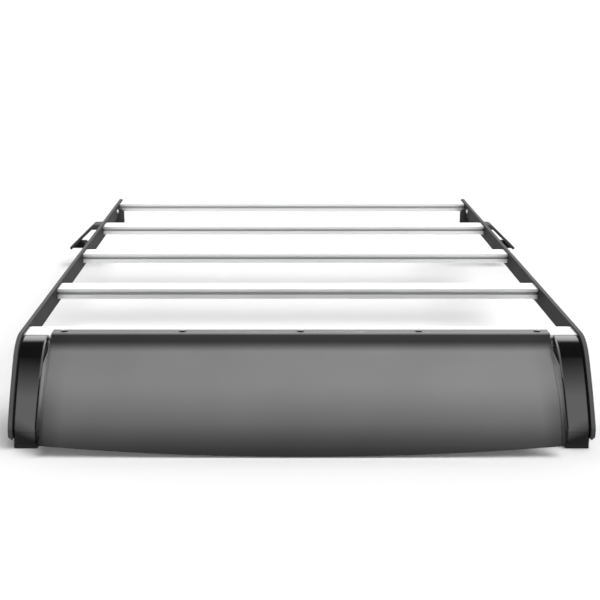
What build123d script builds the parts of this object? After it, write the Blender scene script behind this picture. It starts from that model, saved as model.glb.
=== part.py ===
"""Low roof rack: five extruded crossbars between two side rails, with a wind fairing.

Millimetres, +Z up. The rack's front faces -Y. The origin is the centre of the flat
underside of the left front foot. Pieces in pairs are modelled on the left and mirrored.
"""
import math
import os

from build123d import *

# Rack as a whole
rack_width = 1400.0
rail_top = 240.0

# Crossbars, cut from one extrusion
bar_names = ["front", "second", "middle", "fourth", "rear"]
bar_pitch = 450.0
bar_width = 70.0
bar_height = 30.0
bar_drop = 6.0
bar_wall = 2.5
bar_web = 3.0
bar_corner = 2.0
slot_mouth = 9.0
slot_below_top = 13.0
slot_lip = 3.0
slot_cavity_height = 15.0
slot_cavity_depth = 7.0
groove_spacing = 29.0
groove_width = 2.0
groove_depth = 0.8
port_spacing = 26.0
port_hole = 6.8
port_wall = 2.4

# Side rails, one plate each, with a nose that runs down beside the front post
rail_thickness = 10.0
rail_height = 50.0
rail_tail = 20.0
rail_end_corner = 8.0
rail_bolt_hole = 8.4
nose_reach = 182.0
nose_top_radius = 104.0
nose_turn = 50.0
nose_radius = 950.0
nose_corner = 20.0
plate_clearance = 26.0
plate_bevel = 7.0
leg_back = 46.0
leg_fillet = 55.0

# Front feet and posts
foot_width = 57.0
foot_length = 130.0
foot_height = 13.0
foot_reach = 171.0
foot_edge = 3.0
foot_bolt = 9.0
foot_bolt_back = 30.0
post_foot_width = 55.5
post_top_width = 62.0
post_inset = 8.0
post_roll = 26.0
post_wall = 4.0
post_edge = 4.0
post_back = 40.0
post_rib = 4.0
post_rib_heights = [75.0, 140.0]

# Wind fairing, one formed sheet with a sagging lower edge and ends that turn in
fairing_sheet = 3.0
fairing_post_gap = 3.0
fairing_cover = 34.0
fairing_fold = 1.0
fairing_step = 18.7
fairing_bend = 24.0
fairing_slope = 22.0
fairing_radius = 153.3
fairing_ground_gap = 3.0
fairing_sag = 27.0
fairing_end_turn = 5.5
fairing_end_lean = 3.4
fairing_notch = 4.0
fairing_notch_drop = 9.0
fairing_bolt_count = 5
fairing_bolt_in = 29.0
fairing_bolt_back = 20.0
trim_wall = 1.5
trim_lip = 4.0
bolt_hole = 8.4
bolt_shank = 8.0
bolt_head = 21.0
bolt_head_height = 5.5
bolt_crown = 11.0
bolt_length = 10.0
bolt_socket = 6.0
bolt_socket_depth = 2.6

# Rear brackets and outrigger legs
bracket_plate = 6.0
bracket_ahead_of_bar = 26.0
bracket_length = 84.0
bracket_flange = 21.0
bracket_flange_drop = 19.0
bracket_top_drop = 9.0
bracket_bottom_drop = 98.0
bracket_bevel = 12.0
bracket_bolt_drop = 22.0
bracket_bolt_back = 52.0
leg_depth = 66.0
leg_plate = 10.0
leg_bend = 16.0
leg_gusset = 6.0
leg_drop = 70.0
leg_arm_height = 20.0
leg_arm_reach = 83.0
leg_slope = 44.0
leg_foot_drop = 163.0
rear_foot_base = 43.0
rear_foot_top = 24.0
rear_foot_height = 19.0
rear_foot_bevel = 6.0
rear_foot_thread = 8.0
rear_foot_thread_depth = 14.0
rear_foot_thread_in = 13.0

# Places that follow from the sizes above
bar_top = rail_top - bar_drop
bar_bottom = bar_top - bar_height
rail_bottom = rail_top - rail_height
rail_inner_x = -foot_width / 2
rail_outer_x = rail_inner_x - rail_thickness
centre_x = rail_outer_x + rack_width / 2
bar_length = rack_width - 2 * rail_thickness
first_bar_y = foot_reach - foot_length / 2
bar_middles = [first_bar_y + bar_width / 2 + number * bar_pitch for number in range(len(bar_names))]
bar_middle_z = bar_top - bar_height / 2
last_bar_y = bar_middles[-1] - bar_width / 2
rail_end_y = last_bar_y + bar_width + rail_tail
centre_plane = Plane.YZ.offset(centre_x)
nose_y = first_bar_y - nose_reach
fairing_width = bar_length - 2 * (post_top_width + fairing_post_gap)
flange_width = fairing_width - 2 * fairing_notch
fairing_bolt_pitch = (flange_width - 2 * fairing_bolt_in) / (fairing_bolt_count - 1)
pick_margin = 1.0

os.makedirs("parts", exist_ok=True)


def write(piece, name):
    """Label one finished piece and write it under its own name."""
    piece.label = name
    export_step(piece, f"parts/{name}.step")


def write_pair(piece, name):
    """Write a left-hand piece, and its mirror image as the right-hand one."""
    write(piece, f"left_{name}")
    with BuildPart() as twin:
        mirror(piece, about=centre_plane)
    write(twin.part, f"right_{name}")


def nose_edge(inset, bottom):
    """Draw the curved front edge, set back by inset, and return its start and its lower tangent point."""
    turn = math.radians(nose_turn)
    middle_y = first_bar_y + (nose_radius - nose_top_radius) * math.sin(turn)
    end_turn = math.asin((middle_y - nose_y - inset) / (nose_radius - inset))
    start = (first_bar_y, rail_top - inset)
    top = JernArc(start, (-1, 0), nose_top_radius - inset, nose_turn)
    brow = JernArc(top @ 1, top % 1, nose_radius - inset, math.degrees(end_turn) - nose_turn)
    Line(brow @ 1, (nose_y + inset, bottom))
    return start, brow @ 1


bracket_bolt_y = last_bar_y - bracket_ahead_of_bar - bracket_bolt_back
bracket_bolt_z = rail_top - bracket_bolt_drop
rail_bolts = [
    (y + side * port_spacing / 2, bar_middle_z) for y in bar_middles for side in (-1, 1)
]

# Side rails
with BuildPart() as side_rail:
    with BuildSketch(Plane.YZ.offset(rail_outer_x)) as rail_outline:
        with BuildLine():
            nose_start, nose_end = nose_edge(0, plate_clearance)
            leg_back_y = first_bar_y + leg_back
            Polyline(
                (nose_y, plate_clearance),
                (leg_back_y, plate_clearance),
                (leg_back_y, rail_bottom),
                (rail_end_y, rail_bottom),
                (rail_end_y, rail_top),
                nose_start,
            )
        make_face()
        fillet(rail_outline.vertices().group_by(Axis.X)[-1], rail_end_corner)
        leg_corner = rail_outline.vertices().sort_by_distance((leg_back_y, rail_bottom))[0]
        fillet(leg_corner, leg_fillet)
        fillet(rail_outline.vertices().sort_by_distance(nose_end)[0], nose_corner)
        with Locations(*rail_bolts, (bracket_bolt_y, bracket_bolt_z)):
            Circle(rail_bolt_hole / 2, mode=Mode.SUBTRACT)
    extrude(amount=rail_thickness)
    low_edges = side_rail.edges().group_by(Axis.Z)[0]
    chamfer(low_edges.group_by(Axis.X)[0], plate_bevel)
write_pair(side_rail.part, "side_rail")

# Crossbars: a hollow extrusion with a T-slot in its front and rear faces
with BuildSketch(Plane.YZ) as bar_profile:
    Rectangle(bar_width, bar_height)
    fillet(bar_profile.vertices(), bar_corner)
    slot_z = bar_height / 2 - slot_below_top
    for face in (-1, 1):
        with Locations((face * (bar_width - slot_lip) / 2, slot_z)):
            Rectangle(slot_lip, slot_mouth, mode=Mode.SUBTRACT)
        with Locations((face * ((bar_width - slot_cavity_depth) / 2 - slot_lip), slot_z)):
            Rectangle(slot_cavity_depth, slot_cavity_height, mode=Mode.SUBTRACT)
    chamber_width = bar_width / 2 - slot_lip - slot_cavity_depth - bar_wall - bar_web / 2
    with Locations(
        (-(chamber_width + bar_web) / 2, 0),
        ((chamber_width + bar_web) / 2, 0),
    ):
        Rectangle(chamber_width, bar_height - 2 * bar_wall, mode=Mode.SUBTRACT)
    with Locations((-groove_spacing / 2, bar_height / 2), (groove_spacing / 2, bar_height / 2)):
        Rectangle(groove_width, 2 * groove_depth, mode=Mode.SUBTRACT)
    with Locations((-port_spacing / 2, 0), (port_spacing / 2, 0)):
        Rectangle(bar_web, bar_height / 2 - bar_wall, align=(Align.CENTER, Align.MAX))
        Rectangle(port_hole + 2 * port_wall, port_hole + 2 * port_wall)
        Circle(port_hole / 2, mode=Mode.SUBTRACT)

bolt_row = Location((centre_x, first_bar_y + fairing_bolt_back, bar_top))
bolt_places = [
    bolt_row * place for place in GridLocations(fairing_bolt_pitch, 1, fairing_bolt_count, 1)
]
for name, middle_y in zip(bar_names, bar_middles):
    with BuildPart() as crossbar:
        with BuildSketch(Plane.YZ.offset(rail_inner_x)):
            with Locations((middle_y, bar_middle_z)):
                add(bar_profile.sketch_local)
        extrude(amount=bar_length)
        if name == bar_names[0]:
            with Locations(bolt_places):
                Hole(bolt_hole / 2, depth=2 * bar_wall)
    write(crossbar.part, f"{name}_crossbar")


# Wind fairing: flange, step, concave bend, slope and rounded nose in one sheet
lean = math.radians(fairing_slope)
fairing_bottom = fairing_ground_gap
fairing_drop = bar_top - fairing_bottom - fairing_fold - fairing_step
fairing_drop -= (fairing_bend + fairing_radius) * math.cos(lean)


def fairing_end(side):
    """Plane of one end of the fairing, facing inwards: it turns in and leans."""
    return Plane(
        origin=(centre_x + side * fairing_width / 2, first_bar_y, bar_top),
        x_dir=(0, 1, 0),
        z_dir=(
            -side,
            math.tan(math.radians(fairing_end_turn)),
            -math.tan(math.radians(fairing_end_lean)),
        ),
    )


with BuildPart() as wind_fairing:
    with BuildSketch(centre_plane) as fairing_profile:
        with BuildLine():
            flange = Line(
                (first_bar_y + fairing_cover, bar_top),
                (first_bar_y + fairing_fold, bar_top),
            )
            fold = JernArc(flange @ 1, flange % 1, fairing_fold, 90)
            step = PolarLine(fold @ 1, fairing_step, direction=fold % 1)
            bend = JernArc(step @ 1, step % 1, fairing_bend, fairing_slope - 90)
            face = PolarLine(bend @ 1, fairing_drop / math.sin(lean), direction=bend % 1)
            JernArc(face @ 1, face % 1, fairing_radius, 90 - fairing_slope)
            offset(amount=fairing_sheet, side=Side.RIGHT)
        make_face()
    extrude(amount=fairing_width / 2, both=True)
    for side in (-1, 1):
        split(bisect_by=fairing_end(side), keep=Keep.TOP)
        with BuildSketch(Plane.XZ.offset(-first_bar_y)):
            with BuildLine():
                Polyline(
                    (centre_x + side * flange_width / 2, bar_top + fairing_sheet),
                    (centre_x + side * flange_width / 2, bar_top - fairing_notch_drop),
                    (centre_x + side * fairing_width / 2, bar_top - 2 * fairing_notch_drop),
                    (centre_x + side * fairing_width / 2, bar_top + fairing_sheet),
                    close=True,
                )
            make_face()
        extrude(amount=fairing_cover, both=True, mode=Mode.SUBTRACT)
    with BuildSketch(Plane.XZ) as below_edge:
        with BuildLine():
            edge_ends = [
                (centre_x + side * fairing_width / 2, fairing_bottom + fairing_sag) for side in (-1, 1)
            ]
            ThreePointArc(edge_ends[0], (centre_x, fairing_bottom), edge_ends[1])
            Polyline(
                edge_ends[1],
                (centre_x + fairing_width / 2, 0),
                (centre_x - fairing_width / 2, 0),
                edge_ends[0],
            )
        make_face()
    extrude(amount=2 * nose_reach, both=True, mode=Mode.SUBTRACT)
    with Locations(bolt_places):
        Hole(bolt_hole / 2, depth=2 * fairing_sheet)
write(wind_fairing.part, "wind_fairing")

# Edge trims: channels pushed over the fairing's ends, from below the crossbar to the lower edge
with BuildPart() as fairing_trim:
    with BuildSketch(centre_plane):
        add(fairing_profile.sketch_local)
        offset(amount=trim_wall, mode=Mode.REPLACE)
    extrude(amount=fairing_width, both=True)
    split(bisect_by=fairing_end(-1).offset(-trim_wall), keep=Keep.TOP)
    split(bisect_by=fairing_end(-1).offset(trim_lip), keep=Keep.BOTTOM)
    split(bisect_by=Plane.XY.offset(bar_bottom), keep=Keep.BOTTOM)
    split(bisect_by=Plane.XY.offset(fairing_bottom + fairing_sag), keep=Keep.TOP)
    add(wind_fairing.part, mode=Mode.SUBTRACT)
write_pair(fairing_trim.part, "fairing_trim")

# Button-head bolts that hold the fairing's flange down on the front crossbar
with BuildPart() as bolt:
    with BuildSketch(Plane.XZ):
        with BuildLine():
            Polyline(
                (0, bolt_head_height),
                (0, -bolt_length),
                (bolt_shank / 2, -bolt_length),
                (bolt_shank / 2, 0),
                (bolt_head / 2, 0),
                (bolt_crown / 2, bolt_head_height),
                close=True,
            )
        make_face()
    revolve(axis=Axis.Z)
    with BuildSketch(Plane.XY.offset(bolt_head_height)):
        RegularPolygon(bolt_socket / 2, 6, major_radius=False)
    extrude(amount=-bolt_socket_depth, mode=Mode.SUBTRACT)
on_flange = Location((0, 0, fairing_sheet))
bolts_in_place = [on_flange * place * bolt.part for place in bolt_places]
with BuildPart() as fairing_bolts:
    add(bolts_in_place)
write(fairing_bolts.part, "fairing_bolts")

# Front posts: open-backed, ribbed legs under the front crossbar's ends, narrower at the foot
post_back_y = first_bar_y + post_back
post_top = rail_top - post_inset
post_inner_plane = Plane(
    origin=(rail_inner_x + post_foot_width, 0, foot_height),
    x_dir=(0, 1, 0),
    z_dir=(foot_height - post_top, 0, post_top_width - post_foot_width),
)
with BuildPart() as front_post:
    with BuildSketch(Plane.YZ.offset(rail_inner_x)) as post_outline:
        with BuildLine():
            post_start = nose_edge(post_inset, foot_height)[0]
            post_toe = (nose_y + post_inset, foot_height)
            Polyline(
                post_toe,
                (post_back_y, foot_height),
                (post_back_y, bar_bottom),
                (first_bar_y, bar_bottom),
                post_start,
            )
        make_face()
        fillet(post_outline.vertices().sort_by_distance(post_toe)[0], post_roll)
    extrude(amount=post_top_width)
    split(bisect_by=post_inner_plane, keep=Keep.TOP)
    sides = front_post.faces().sort_by(Axis.X)
    front_edges = (sides[0].edges() + sides[-1].edges()).filter_by(
        lambda edge: edge.center().Y < first_bar_y - pick_margin
        and edge.center().Z > foot_height + pick_margin
    )
    chamfer(front_edges, post_edge)
with BuildPart() as post_pocket:
    with BuildSketch(Plane.YZ.offset(rail_inner_x + post_wall)):
        add(post_outline.sketch_local)
        offset(amount=-post_wall, mode=Mode.REPLACE)
        with Locations((post_back_y, (foot_height + bar_bottom) / 2)):
            Rectangle(2 * post_wall, bar_bottom - foot_height - 2 * post_wall)
    extrude(amount=post_top_width)
    split(bisect_by=post_inner_plane.offset(post_wall), keep=Keep.TOP)
    with Locations([(0, 0, height) for height in post_rib_heights]):
        Box(2 * foot_length, 4 * foot_length, post_rib, mode=Mode.SUBTRACT)
with BuildPart() as hollow_post:
    add(front_post.part)
    add(post_pocket.part, mode=Mode.SUBTRACT)
    with Locations((0, foot_bolt_back, foot_height + post_wall)):
        Hole(foot_bolt / 2, depth=2 * post_wall)
write_pair(hollow_post.part, "front_post")

# Front feet
with BuildPart() as front_foot:
    with BuildSketch():
        Rectangle(foot_width, foot_length)
    extrude(amount=foot_height)
    fillet(front_foot.edges().filter_by(Axis.Z), foot_edge)
    with Locations((0, foot_bolt_back, foot_height)):
        Hole(foot_bolt / 2, depth=foot_height)
write_pair(front_foot.part, "front_foot")

# Rear brackets: plates on the rails' outer faces, with a flange that passes under the rail and rises inside
bracket_back_y = last_bar_y - bracket_ahead_of_bar
bracket_bottom = rail_top - bracket_bottom_drop
bracket_outer_x = rail_outer_x - bracket_plate
flange_top = rail_top - bracket_flange_drop
with BuildPart() as rear_bracket:
    with BuildSketch(Plane.YZ.offset(bracket_outer_x)):
        with Locations((bracket_back_y, bracket_bottom)):
            Rectangle(
                bracket_length,
                bracket_bottom_drop - bracket_top_drop,
                align=(Align.MAX, Align.MIN),
            )
        with Locations((bracket_bolt_y, bracket_bolt_z)):
            Circle(rail_bolt_hole / 2, mode=Mode.SUBTRACT)
    extrude(amount=bracket_plate)
    with BuildSketch(Plane.XZ.offset(-bracket_back_y)) as flange_outline:
        with BuildLine():
            Polyline(
                (bracket_outer_x, bracket_bottom),
                (rail_inner_x + bracket_flange, bracket_bottom),
                (rail_inner_x + bracket_flange, flange_top),
                (rail_inner_x, flange_top),
                (rail_inner_x, rail_bottom),
                (bracket_outer_x, rail_bottom),
                close=True,
            )
        make_face()
        chamfer(flange_outline.vertices().group_by(Axis.X)[-1].sort_by(Axis.Y)[-1], bracket_bevel)
    extrude(amount=bracket_plate)
write_pair(rear_bracket.part, "rear_bracket")

# Rear legs: a folded strip with two gussets, reaching out and down from the bracket's plate
leg_front_y = bracket_back_y - bracket_length + (bracket_length - bracket_plate - leg_depth) / 2
leg_back_plane = Plane.XZ.offset(-(leg_front_y + leg_depth))
leg_front_plane = Plane.XZ.offset(-(leg_front_y + leg_gusset))
leg_lean = math.radians(leg_slope)


def strut_x(drop, depth):
    """X of the line that lies depth below the strut's upper face, at a drop below the rail's top."""
    start = rail_outer_x - leg_arm_reach + depth * math.sin(leg_lean)
    return start - (drop - leg_drop - depth * math.cos(leg_lean)) / math.tan(leg_lean)


with BuildPart() as rear_leg:
    with BuildSketch(leg_back_plane):
        with BuildLine():
            FilletPolyline(
                (bracket_outer_x, rail_top - leg_drop),
                (strut_x(leg_drop, 0), rail_top - leg_drop),
                (strut_x(leg_foot_drop, 0), rail_top - leg_foot_drop),
                radius=leg_bend,
            )
            offset(amount=leg_plate, side=Side.LEFT)
        make_face()
    extrude(amount=leg_depth)
    gusset_top = leg_drop + leg_plate / 2
    gusset_bottom = leg_drop + leg_arm_height
    for plane in (leg_back_plane, leg_front_plane):
        with BuildSketch(plane):
            with BuildLine():
                Polyline(
                    (bracket_outer_x, rail_top - gusset_top),
                    (strut_x(gusset_top, leg_plate), rail_top - gusset_top),
                    (strut_x(gusset_bottom, leg_plate / 2), rail_top - gusset_bottom),
                    (bracket_outer_x, rail_top - gusset_bottom),
                    close=True,
                )
            make_face()
        extrude(amount=leg_gusset)
write_pair(rear_leg.part, "rear_leg")

# Rear feet: pads under the lower ends of the struts
pad_top_drop = leg_foot_drop - rear_foot_height
pad_outer_x = strut_x(leg_foot_drop, leg_plate)
pad_top_x = strut_x(pad_top_drop, leg_plate)
pad_bottom = rail_top - leg_foot_drop
with BuildPart() as rear_foot:
    with BuildSketch(leg_back_plane) as pad_outline:
        with BuildLine():
            Polyline(
                (pad_outer_x, pad_bottom),
                (pad_top_x, pad_bottom + rear_foot_height),
                (pad_top_x + rear_foot_top + rear_foot_bevel, pad_bottom + rear_foot_height),
                (pad_outer_x + rear_foot_base, pad_bottom),
                close=True,
            )
        make_face()
        inner_corners = pad_outline.vertices().group_by(Axis.Y)[-1].sort_by(Axis.X)
        chamfer(inner_corners[-1], rear_foot_bevel)
    extrude(amount=leg_depth)
    with Locations(
        Location(
            (pad_outer_x + rear_foot_base - rear_foot_thread_in, leg_front_y + leg_depth / 2, pad_bottom),
            (180, 0, 0),
        )
    ):
        Hole(rear_foot_thread / 2, depth=rear_foot_thread_depth)
write_pair(rear_foot.part, "rear_foot")
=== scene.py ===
"""Looks of the low roof rack: finishes, small fasteners, toe covers, floor, light and camera.

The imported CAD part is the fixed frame: metres, +Z up, the rack's front faces -Y.
"""

import math

import bmesh
import bpy
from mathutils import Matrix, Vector


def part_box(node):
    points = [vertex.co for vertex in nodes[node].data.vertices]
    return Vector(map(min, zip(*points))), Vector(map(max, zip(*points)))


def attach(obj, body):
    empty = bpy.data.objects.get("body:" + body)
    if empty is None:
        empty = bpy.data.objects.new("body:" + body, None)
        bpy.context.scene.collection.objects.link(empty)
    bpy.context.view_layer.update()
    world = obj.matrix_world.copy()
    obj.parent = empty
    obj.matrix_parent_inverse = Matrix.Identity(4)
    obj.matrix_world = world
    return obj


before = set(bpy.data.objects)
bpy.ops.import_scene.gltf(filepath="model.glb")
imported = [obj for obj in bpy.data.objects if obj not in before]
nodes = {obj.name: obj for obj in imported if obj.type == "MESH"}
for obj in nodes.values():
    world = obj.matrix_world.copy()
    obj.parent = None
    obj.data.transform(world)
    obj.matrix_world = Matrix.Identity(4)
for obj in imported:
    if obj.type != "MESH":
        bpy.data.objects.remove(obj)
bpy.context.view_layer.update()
scene = bpy.context.scene
middle_x = sum(corner.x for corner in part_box("wind_fairing")) / 2

# Camera, fitted to the photograph
CAMERA_PLACE = (0.6051, -2.637, 1.0644)
CAMERA_DOWN = math.radians(15.13)
CAMERA_LENS = 69.0
CAMERA_SENSOR = 36.0
CAMERA_SHIFT = 0.0367
CAMERA_FAR = 1000.0

# World: a bright horizon, a dark zenith, and more light from behind the rack
WORLD_STRENGTH = 1.0
HORIZON_END = 0.72
ZENITH_START = 0.86
ZENITH = 0.02
BACK_BOOST = 2.2
BACK_REACH = (0.1, 0.5)

# Suns: strengths for each group of pieces, widths of the source, and turns
KEY_STRENGTH = 4.6
FAIRING_TOP = 92.0
FAIRING_BACK = 45.0
BAR_TOP = 1.0
BAR_FRONT = 1.3
FRAME_TOP = 22.0
FRAME_FRONT = 11.0
WIDE = math.radians(50)
NARROW = math.radians(20)
KEY_TILT = (math.radians(12), math.radians(24), 0.0)
TOP_TILT = (math.radians(4), math.radians(6), 0.0)
FRONT_TILT = (math.radians(60), 0.0, math.radians(10))
BACK_TILT = (math.radians(-80), 0.0, 0.0)

# Floor
FLOOR_SIZE = 300.0
FLOOR_DROP = 0.0003
FLOOR_GREY = 0.48
FLOOR_VARIES = 0.01
FLOOR_CLOUDS = 0.8
FLOOR_ROUGH = 0.9

# Fasteners in metres: rings of radius and height, from the seat up
SIDES = 24
SHARP_ANGLE = math.radians(35)
BUTTON_HEAD = [
    (0.0080, 0.0), (0.0080, 0.0014), (0.0070, 0.0014), (0.0070, 0.0022),
    (0.0062, 0.0038), (0.0046, 0.0049), (0.0034, 0.0053),
]
BUTTON_SOCKET = [(0.0025, 0.0053), (0.0025, 0.0029)]
HEX_FLANGE = [(0.0088, 0.0), (0.0088, 0.0012), (0.0072, 0.0022)]
HEX_HEAD = [(0.0065, 0.0022), (0.0065, 0.0066)]
HEX_TOP = [(0.0061, 0.0073), (0.0040, 0.0074)]
PORT_OFFSET = 0.013
BRACKET_BOLT_BACK = 0.052
BRACKET_BOLT_DROP = 0.022
FOOT_BOLT_BACK = 0.030
POST_FLOOR = 0.004

# Thin cover over each post's rolled toe, in metres
TOE_ROLL = 0.026
TOE_TOP = 0.029
TOE_GAP = 0.0002
TOE_SHEET = 0.0004
TOE_BEVEL = 0.004
TOE_STEPS = 14

# Worn edges: how far the rounded normal turns there, and the noise that breaks them up
EDGE_SAMPLES = 6
EDGE_TURN = (0.80, 0.995)
EDGE_CLOUDS = 55.0
EDGE_BREAKS = (0.42, 0.68)

# Painted and moulded finishes: cloudy tone and roughness, and the depth of the grain
COAT_CLOUDS = 6.0
COAT_TONE = 0.04
COAT_ROUGH = 0.02
COAT_DEPTH = 0.0004

# Bare metal: streaks along X, cloudy roughness, worn edges, and painted shade darkening inner corners such
# as slots
STREAK_SCALE = 90.0
STREAK_STRETCH = (0.012, 1.0, 1.0)
STREAK_TONE = 0.95
STREAK_DEPTH = 0.0003
STREAK_TINT = (-0.006, -0.004)
METAL_CLOUDS = 5.0
METAL_ROUGH = (-0.04, 0.05)
METAL_EDGE = 0.0008
METAL_WEAR = 0.35
METAL_WEAR_TONE = 1.08
CORNER_SAMPLES = 8
CORNER_REACH = 0.012
CORNER_OPEN = (0.1, 0.8)
CORNER_SHADE_TONE = 0.25

# Gloss of the posts: it fades towards the foot as painted shade, higher up on the outer side, and also on
# sideways faces
FADE_SLOPE = 0.45
FADE_REACH = (-0.269, -0.233)
FADE_LEVELS = (0.07, 0.5)
CHEEK_TURN = (0.75, 0.97)
CHEEK_GLOSS = 0.06

# Painted highlight on the crowns of the fairing's bolts: its depth below the top, and its grey
CROWN_DEPTH = 0.0028
CROWN_HIGHLIGHT_GREY = 0.80

# Painted shade on the fairing: darker ends, as distances from the middle and heights, a darker left side
# and a painted lighter right side
END_REACH = (0.565, 0.622)
END_HEIGHT = (0.105, 0.160)
END_SHARES = (1.0, 0.3)
SIDE_REACH = (-0.5, 0.6)
SIDE_LEVELS = (0.95, 1.12)

# Painted and moulded looks: grey tone, roughness, grain, wear of the edges and their radius in metres
COATED = {
    "rail_black": dict(
        tone=0.010, rough=0.60, relief=0.16, relief_scale=900.0,
        wear=0.35, wear_tone=0.04, edge=0.0012, shine=0.07,
    ),
    "leg_black": dict(
        tone=0.010, rough=0.60, relief=0.16, relief_scale=900.0,
        wear=0.10, wear_tone=0.04, edge=0.0120, shine=0.07,
    ),
    "fairing_black": dict(
        tone=0.008, rough=0.50, relief=0.10, relief_scale=1100.0,
        wear=0.30, wear_tone=0.019, edge=0.0010, shine=0.03,
    ),
    "post_gloss": dict(
        tone=0.0008, rough=0.09, relief=0.006, relief_scale=260.0,
        wear=0.10, wear_tone=0.003, edge=0.0040, ior=2.0,
    ),
    "toe_gloss": dict(
        tone=0.0008, rough=0.09, relief=0.006, relief_scale=260.0,
        wear=0.0, wear_tone=0.003, edge=0.0001, ior=2.0,
    ),
    "foot_rubber": dict(
        tone=0.004, rough=0.68, relief=0.30, relief_scale=700.0,
        wear=0.25, wear_tone=0.02, edge=0.0015, shine=0.10,
    ),
    "bolt_black": dict(
        tone=0.006, rough=0.12, relief=0.02, relief_scale=800.0,
        wear=0.45, wear_tone=0.08, edge=0.0006, ior=2.0,
    ),
    "bolt_gloss": dict(
        tone=0.006, rough=0.14, relief=0.02, relief_scale=800.0,
        wear=0.20, wear_tone=0.03, edge=0.0006,
    ),
    "trim_rubber": dict(
        tone=0.0060, rough=0.80, relief=0.10, relief_scale=700.0,
        wear=0.20, wear_tone=0.015, edge=0.0015, shine=0.03,
    ),
}
BRUSHED = {
    "bar_aluminium": dict(tone=0.80, rough=0.34, streaks=0.10, metallic=0.60),
    "bolt_zinc": dict(tone=0.62, rough=0.36, streaks=0.08, metallic=0.80),
}
# Painted shade on the fairing and its trims: darker towards their lower edge, between the heights given,
# down to the least share
PAINTED_SHADE = {
    "fairing_black": dict(heights=(0.020, 0.080), least=0.70, ends=0.48),
    "trim_rubber": dict(heights=(0.070, 0.140), least=0.50, ends=0.0),
}

# Looks of the CAD nodes, by the ends of their names
FINISH_OF = {
    "crossbar": "bar_aluminium",
    "side_rail": "rail_black",
    "rear_bracket": "rail_black",
    "rear_leg": "leg_black",
    "wind_fairing": "fairing_black",
    "fairing_trim": "trim_rubber",
    "fairing_bolts": "bolt_gloss",
    "front_post": "post_gloss",
    "front_foot": "foot_rubber",
    "rear_foot": "foot_rubber",
}


def named(*endings):
    """The CAD nodes whose names end in one of these words."""
    return [piece for name, piece in nodes.items() if name.endswith(endings)]


# Shader helpers
def shader(name):
    """Start a material and return it with its node tree and its surface node."""
    material = bpy.data.materials.new(name)
    material.use_nodes = True
    tree = material.node_tree
    return material, tree, tree.nodes["Principled BSDF"]


def feed(tree, socket, value):
    """Give an input a constant, or link it to another node's output."""
    if isinstance(value, bpy.types.NodeSocket):
        tree.links.new(value, socket)
    else:
        socket.default_value = value


def add(tree, kind, *ordered, **others):
    """Add a node and feed its inputs, in their order or by their names."""
    node = tree.nodes.new(kind)
    for socket, value in zip(node.inputs, ordered):
        feed(tree, socket, value)
    for key, value in others.items():
        feed(tree, node.inputs[key.replace("_", " ")], value)
    return node


def compute(tree, operation, *values):
    """The result of a math node."""
    node = tree.nodes.new("ShaderNodeMath")
    node.operation = operation
    for socket, value in zip(node.inputs, values):
        feed(tree, socket, value)
    return node.outputs["Value"]


def split(tree, vector):
    """The X, Y and Z outputs of a vector."""
    return add(tree, "ShaderNodeSeparateXYZ", vector).outputs


def object_place(tree):
    """Coordinates in object space, which here is the frame's space."""
    return add(tree, "ShaderNodeTexCoord").outputs["Object"]


def grain(tree, scale, stretch=(1.0, 1.0, 1.0), detail=3.0):
    """Noise in object space, stretched along the axes, as a 0 to 1 value."""
    mapped = add(tree, "ShaderNodeMapping", Vector=object_place(tree), Scale=stretch).outputs["Vector"]
    return add(tree, "ShaderNodeTexNoise", Vector=mapped, Scale=scale, Detail=detail).outputs["Fac"]


def spread(tree, value, low, high, start=0.3, end=0.7):
    """Map the part of a value's range from start to end to the range low to high."""
    return add(tree, "ShaderNodeMapRange", value, start, end, low, high).outputs["Result"]


def mix(tree, factor, dark, light):
    """Blend two colours by a factor."""
    node = tree.nodes.new("ShaderNodeMix")
    node.data_type = "RGBA"
    tree.links.new(factor, node.inputs["Factor"])
    feed(tree, node.inputs[6], dark)
    feed(tree, node.inputs[7], light)
    return node.outputs[2]


def worn_edges(tree, radius, reach):
    """Rounded normals near the edges, and a 0 to 1 mask of those edges broken up by noise."""
    bevel = add(tree, "ShaderNodeBevel", Radius=radius)
    bevel.samples = EDGE_SAMPLES
    turn = tree.nodes.new("ShaderNodeVectorMath")
    turn.operation = "DOT_PRODUCT"
    tree.links.new(bevel.outputs["Normal"], turn.inputs[0])
    tree.links.new(add(tree, "ShaderNodeNewGeometry").outputs["Normal"], turn.inputs[1])
    edge = spread(tree, turn.outputs["Value"], 1.0, 0.0, *EDGE_TURN)
    broken = spread(tree, grain(tree, EDGE_CLOUDS), 0.0, reach, *EDGE_BREAKS)
    return bevel.outputs["Normal"], compute(tree, "MULTIPLY", edge, broken)


def bump(tree, height, strength, distance, normal):
    """Fine relief on top of a normal."""
    node = add(
        tree, "ShaderNodeBump", Height=height, Strength=strength, Distance=distance, Normal=normal
    )
    return node.outputs["Normal"]


def grey(value, warm=0.0):
    """A grey as RGBA, a little warm or cool."""
    return (value * (1 + warm), value, value * (1 - warm), 1.0)


# Finishes
def coated(name, tone, rough, relief, relief_scale, wear, wear_tone, edge, ior=1.5, shine=0.5):
    """Painted or moulded dark finish: fine grain, cloudy roughness and slightly worn edges."""
    material, tree, surface = shader(name)
    clouds = grain(tree, COAT_CLOUDS)
    rounded, worn = worn_edges(tree, edge, wear)
    cloudy = spread(tree, clouds, 0.0, 1.0)
    base = mix(tree, cloudy, grey(tone * (1 - COAT_TONE)), grey(tone * (1 + COAT_TONE)))
    tree.links.new(mix(tree, worn, base, grey(wear_tone)), surface.inputs["Base Color"])
    varied = spread(tree, clouds, rough - COAT_ROUGH, rough + COAT_ROUGH)
    tree.links.new(varied, surface.inputs["Roughness"])
    texture = grain(tree, relief_scale, detail=2.0)
    tree.links.new(bump(tree, texture, relief, COAT_DEPTH, rounded), surface.inputs["Normal"])
    surface.inputs["IOR"].default_value = ior
    surface.inputs["Specular IOR Level"].default_value = shine
    return material


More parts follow.
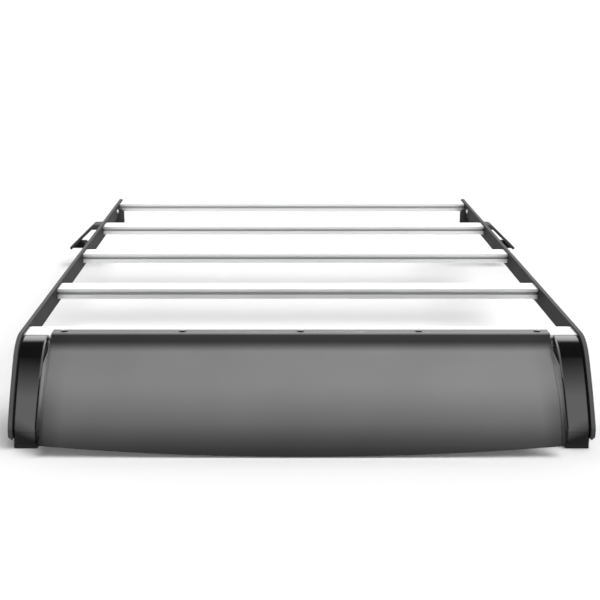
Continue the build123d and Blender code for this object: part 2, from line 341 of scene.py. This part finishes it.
def brushed(name, tone, rough, streaks, metallic):
    """Bare metal with faint streaks along X, where the extrusion was drawn, and painted shade in inner
    corners.
    """
    material, tree, surface = shader(name)
    streak = grain(tree, STREAK_SCALE, stretch=STREAK_STRETCH, detail=4.0)
    clouds = grain(tree, METAL_CLOUDS)
    rounded, worn = worn_edges(tree, METAL_EDGE, METAL_WEAR)
    dark_streak = grey(tone * STREAK_TONE, STREAK_TINT[0])
    base = mix(tree, spread(tree, streak, 0.0, 1.0), dark_streak, grey(tone, STREAK_TINT[1]))
    bare = mix(tree, worn, base, grey(min(1.0, tone * METAL_WEAR_TONE)))
    # Painted shade: an ambient occlusion mask darkens the base colour in inner corners such as slots
    corner_shade = add(tree, "ShaderNodeAmbientOcclusion", Distance=CORNER_REACH)
    corner_shade.samples = CORNER_SAMPLES
    open_side = spread(tree, corner_shade.outputs["AO"], 0.0, 1.0, *CORNER_OPEN)
    tree.links.new(mix(tree, open_side, grey(tone * CORNER_SHADE_TONE), bare), surface.inputs["Base Color"])
    varied = spread(tree, clouds, rough + METAL_ROUGH[0], rough + METAL_ROUGH[1])
    tree.links.new(varied, surface.inputs["Roughness"])
    tree.links.new(bump(tree, streak, streaks, STREAK_DEPTH, rounded), surface.inputs["Normal"])
    surface.inputs["Metallic"].default_value = metallic
    return material


def rack_place(tree):
    """How far a point lies to the right of the rack's middle, and its height."""
    place = split(tree, object_place(tree))
    return compute(tree, "SUBTRACT", place["X"], middle_x), place["Z"]


def fade_gloss(material):
    """Let a finish lose its reflection near the foot, along a slanting line, as painted shade, and on
    sideways faces.
    """
    tree = material.node_tree
    from_middle, height = rack_place(tree)
    outward = compute(tree, "ABSOLUTE", from_middle)
    slant = compute(tree, "MULTIPLY_ADD", outward, -FADE_SLOPE, height)
    shine = spread(tree, slant, *FADE_LEVELS, *FADE_REACH)
    facing = split(tree, add(tree, "ShaderNodeNewGeometry").outputs["Normal"])
    sideways = compute(tree, "ABSOLUTE", facing["X"])
    cheek = spread(tree, sideways, 1.0, CHEEK_GLOSS, *CHEEK_TURN)
    level = compute(tree, "MULTIPLY", shine, cheek)
    tree.links.new(level, tree.nodes["Principled BSDF"].inputs["Specular IOR Level"])


def paint_crown_highlight(material, start, end):
    """Painted highlight at the crown of a bolt: a light grey in the base colour near its top, standing in
    for the light its gloss reflects.
    """
    tree = material.node_tree
    colour = tree.nodes["Principled BSDF"].inputs["Base Color"]
    crown = spread(tree, split(tree, object_place(tree))["Z"], 0.0, 1.0, start, end)
    tree.links.new(mix(tree, crown, colour.links[0].from_socket, grey(CROWN_HIGHLIGHT_GREY)), colour)


def paint_shade(material, heights, least, ends):
    """Paint shade into a finish towards the lower edge, the left side, and both ends of the fairing's
    lower half, and painted light towards the right side.
    """
    tree = material.node_tree
    colour = tree.nodes["Principled BSDF"].inputs["Base Color"]
    from_middle, height = rack_place(tree)
    outward = compute(tree, "ABSOLUTE", from_middle)
    by_height = spread(tree, height, least, 1.0, *heights)
    near_end = spread(tree, outward, 0.0, ends, *END_REACH)
    low_half = spread(tree, height, *END_SHARES, *END_HEIGHT)
    by_end = compute(tree, "SUBTRACT", 1.0, compute(tree, "MULTIPLY", near_end, low_half))
    by_side = spread(tree, from_middle, *SIDE_LEVELS, *SIDE_REACH)
    level = compute(tree, "MULTIPLY", compute(tree, "MULTIPLY", by_end, by_height), by_side)
    scaled = tree.nodes.new("ShaderNodeVectorMath")
    scaled.operation = "SCALE"
    tree.links.new(colour.links[0].from_socket, scaled.inputs[0])
    tree.links.new(level, scaled.inputs["Scale"])
    tree.links.new(scaled.outputs["Vector"], colour)


finishes = {name: coated(name, **look) for name, look in COATED.items()}
finishes.update({name: brushed(name, **look) for name, look in BRUSHED.items()})
fade_gloss(finishes["post_gloss"])
fade_gloss(finishes["toe_gloss"])
bolt_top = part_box("fairing_bolts")[1].z
# Painted highlight on the crowns of the fairing's bolts
paint_crown_highlight(finishes["bolt_gloss"], bolt_top - CROWN_DEPTH, bolt_top - CROWN_DEPTH / 2)
# Painted shade and light on the fairing and its trims
for name, look in PAINTED_SHADE.items():
    paint_shade(finishes[name], **look)
for ending, finish in FINISH_OF.items():
    for node in named(ending):
        node.data.materials.clear()
        node.data.materials.append(finishes[finish])


# Pieces of the scene's own
def place_piece(name, mesh, finish):
    """Put a mesh in the scene as a piece that rides on the rack."""
    mesh.materials.append(finishes[finish])
    piece = bpy.data.objects.new(name, mesh)
    scene.collection.objects.link(piece)
    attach(piece, "root")
    return piece


def ring(radius, height, hexagon):
    """Points round Z at one height: a circle, or a hexagon given by its inner radius."""
    points = []
    for number in range(SIDES):
        angle = 2 * math.pi * number / SIDES
        reach = radius
        if hexagon:
            reach /= math.cos((angle + math.pi / 6) % (math.pi / 3) - math.pi / 6)
        points.append(Vector((reach * math.cos(angle), reach * math.sin(angle), height)))
    return points


def fasteners(name, rings, places, direction, finish):
    """One mesh of the same fastener at several places, pointing in one direction."""
    turn = Vector((0, 0, 1)).rotation_difference(Vector(direction)).to_matrix()
    points, faces = [], []
    for place in places:
        start = len(points)
        points += [Vector(place) + turn @ point for loop in rings for point in loop]
        faces.append(tuple(range(start + SIDES - 1, start - 1, -1)))
        for level in range(len(rings) - 1):
            low = start + level * SIDES
            for number in range(SIDES):
                after = (number + 1) % SIDES
                faces.append((low + number, low + after, low + after + SIDES, low + number + SIDES))
        faces.append(tuple(range(len(points) - SIDES, len(points))))
    mesh = bpy.data.meshes.new(name)
    mesh.from_pydata(points, [], faces)
    mesh.polygons.foreach_set("use_smooth", [True] * len(mesh.polygons))
    mesh.set_sharp_from_angle(angle=SHARP_ANGLE)
    return place_piece(name, mesh, finish)


def toe_cover(name, post, foot):
    """A sheet that carries the post's front on down to the foot, outside the post's rolled toe."""
    front = post[0].y - TOE_GAP - TOE_SHEET
    base = foot[1].z + TOE_GAP
    left, right = foot[0].x + TOE_SHEET, foot[1].x - TOE_SHEET
    section = [(left, TOE_BEVEL), (left + TOE_BEVEL, 0.0), (right - TOE_BEVEL, 0.0), (right, TOE_BEVEL)]
    shape = bmesh.new()
    levels = []
    for step in range(TOE_STEPS + 1):
        height = TOE_TOP * (step / TOE_STEPS) ** 2
        below = max(0.0, TOE_ROLL - height)
        back = front + TOE_SHEET + TOE_ROLL - math.sqrt(TOE_ROLL**2 - below**2)
        outer = [shape.verts.new((x, front + y, base + height)) for x, y in section]
        inner = [shape.verts.new((x, back + y, base + height)) for x, y in section]
        levels.append(outer + inner[::-1])
    count = len(levels[0])
    for low, high in zip(levels, levels[1:]):
        for number in range(count):
            after = (number + 1) % count
            shape.faces.new((low[number], low[after], high[after], high[number]))
    for level in (levels[0], levels[-1]):
        for number in range(count // 2 - 1):
            last = count - 1 - number
            shape.faces.new((level[number], level[number + 1], level[last - 1], level[last]))
    bmesh.ops.recalc_face_normals(shape, faces=shape.faces)
    mesh = bpy.data.meshes.new(name)
    shape.to_mesh(mesh)
    shape.free()
    return place_piece(name, mesh, "toe_gloss")


button = [ring(*step, False) for step in BUTTON_HEAD] + [ring(*step, True) for step in BUTTON_SOCKET]
hexagon_bolt = [ring(*step, False) for step in HEX_FLANGE]
hexagon_bolt += [ring(*step, True) for step in HEX_HEAD]
hexagon_bolt += [ring(*step, False) for step in HEX_TOP]
bars = [name for name in nodes if name.endswith("crossbar")]
added = []
for side, out in (("left", -1), ("right", 1)):
    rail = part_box(f"{side}_side_rail")
    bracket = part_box(f"{side}_rear_bracket")
    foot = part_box(f"{side}_front_foot")
    outer_x, inner_x, plate_x = rail[0].x, rail[1].x, bracket[0].x
    if out > 0:
        outer_x, inner_x, plate_x = rail[1].x, rail[0].x, bracket[1].x
    bolt_y = bracket[1].y - BRACKET_BOLT_BACK
    bolt_z = rail[1].z - BRACKET_BOLT_DROP
    rail_places = [(plate_x, bolt_y, bolt_z)]
    for bar in bars:
        middle = (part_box(bar)[0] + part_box(bar)[1]) / 2
        rail_places += [(outer_x, middle.y + shift, middle.z) for shift in (-PORT_OFFSET, PORT_OFFSET)]
    bracket_places = [(inner_x, bolt_y, bolt_z)]
    foot_middle = (foot[0] + foot[1]) / 2
    foot_places = [(foot_middle.x, foot_middle.y + FOOT_BOLT_BACK, foot[1].z + POST_FLOOR)]
    added += [
        fasteners(f"{side}_rail_bolts", button, rail_places, (out, 0, 0), "bolt_black"),
        fasteners(
            f"{side}_bracket_bolt", button, bracket_places, (-out, 0, 0), "bolt_zinc"
        ),
        toe_cover(f"{side}_toe_cover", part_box(f"{side}_front_post"), foot),
        fasteners(
            f"{side}_foot_bolt", hexagon_bolt, foot_places, (0, 0, 1), "bolt_zinc"
        ),
    ]

# Floor
bpy.ops.mesh.primitive_grid_add(x_subdivisions=2, y_subdivisions=2, size=FLOOR_SIZE)
floor = bpy.context.object
floor.name = "studio_floor"
material, tree, surface = shader("studio_floor")
darkest, lightest = FLOOR_GREY * (1 - FLOOR_VARIES), FLOOR_GREY * (1 + FLOOR_VARIES)
tree.links.new(spread(tree, grain(tree, FLOOR_CLOUDS), darkest, lightest), surface.inputs["Base Color"])
surface.inputs["Roughness"].default_value = FLOOR_ROUGH
surface.inputs["Specular IOR Level"].default_value = 0.0
floor.data.materials.append(material)
floor.location.z = -FLOOR_DROP

# World light
world = bpy.data.worlds.new("studio")
scene.world = world
world.use_nodes = True
tree = world.node_tree
background = tree.nodes["Background"]
sky = split(tree, add(tree, "ShaderNodeTexCoord").outputs["Generated"])
ramp = add(tree, "ShaderNodeValToRGB", Fac=sky["Z"])
ramp.color_ramp.elements[0].position = HORIZON_END
ramp.color_ramp.elements[0].color = grey(1.0)
ramp.color_ramp.elements[1].position = ZENITH_START
ramp.color_ramp.elements[1].color = grey(ZENITH)
tree.links.new(ramp.outputs["Color"], background.inputs["Color"])
strength = spread(tree, sky["Y"], WORLD_STRENGTH, WORLD_STRENGTH * BACK_BOOST, *BACK_REACH)
tree.links.new(strength, background.inputs["Strength"])


# Suns
def sun(name, strength, angle, tilt, lit):
    """A soft sun that lights only the objects given, and shows in no reflection."""
    lamp = bpy.data.lights.new(name, "SUN")
    lamp.energy = strength
    lamp.angle = angle
    holder = bpy.data.objects.new(name, lamp)
    holder.rotation_euler = tilt
    holder.visible_glossy = False
    scene.collection.objects.link(holder)
    receivers = bpy.data.collections.new(f"{name}_receivers")
    for piece in lit:
        receivers.objects.link(piece)
    holder.light_linking.receiver_collection = receivers


fairing = named("wind_fairing", "fairing_trim")
posts = named("front_post")
crossbars = named("crossbar")
plates = named("side_rail", "rear_bracket", "rear_leg")
sun("floor_key", KEY_STRENGTH, WIDE, KEY_TILT, [floor])
sun("fairing_top", FAIRING_TOP, WIDE, TOP_TILT, fairing)
sun("fairing_back", FAIRING_BACK, NARROW, BACK_TILT, fairing + posts)
sun("bar_top", BAR_TOP, WIDE, TOP_TILT, crossbars)
sun("bar_front", BAR_FRONT, WIDE, FRONT_TILT, crossbars)
sun("frame_top", FRAME_TOP, WIDE, TOP_TILT, plates + posts + added)
sun("frame_front", FRAME_FRONT, WIDE, FRONT_TILT, plates + named("front_foot"))

# Camera
lens = bpy.data.cameras.new("camera")
lens.sensor_width = CAMERA_SENSOR
lens.lens = CAMERA_LENS
lens.shift_x = CAMERA_SHIFT
lens.clip_end = CAMERA_FAR
camera = bpy.data.objects.new("camera", lens)
camera.location = CAMERA_PLACE
camera.rotation_euler = (math.pi / 2 - CAMERA_DOWN, 0.0, 0.0)
scene.collection.objects.link(camera)
scene.camera = camera
scene.view_settings.view_transform = "Standard"
